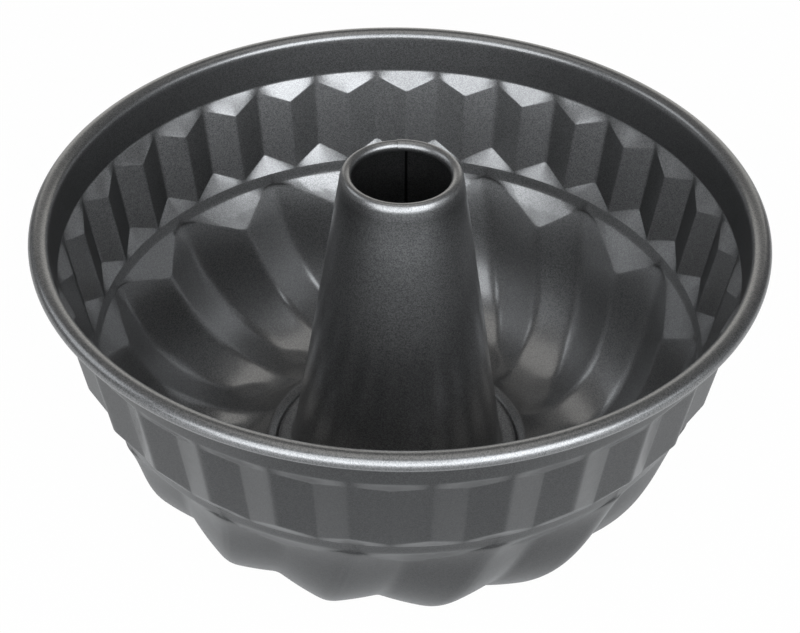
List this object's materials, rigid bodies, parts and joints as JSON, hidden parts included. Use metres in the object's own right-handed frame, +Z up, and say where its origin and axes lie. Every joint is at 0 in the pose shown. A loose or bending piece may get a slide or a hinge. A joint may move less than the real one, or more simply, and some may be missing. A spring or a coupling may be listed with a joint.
{
  "type": "kugelhopf mould",
  "caption": "Round cake mould of coated sheet steel with a rolled rim, a pleated band, flutes that swirl down to the floor and an open tapered tube up the middle.",
  "frame": {"origin": "centre of the base, on the plane that the flutes stand on", "axes": "+Z up along the tube; +X through the outer crest of a flute at the ring and the tip of the pleat above it; the tube's seam faces +Y"},
  "size_m": [0.22, 0.22, 0.1117],
  "materials": {
    "bowl_coating": "satin dark grey non-stick coating with a fine metallic speckle",
    "tube_coating": "satin dark grey non-stick coating with a fine metallic speckle",
    "wire": "plain drawn wire"
  },
  "bodies": {
    "root": {"bowl": "bowl_coating", "centre_tube": "tube_coating", "rim_wire": "wire"}
  },
  "joints": []
}
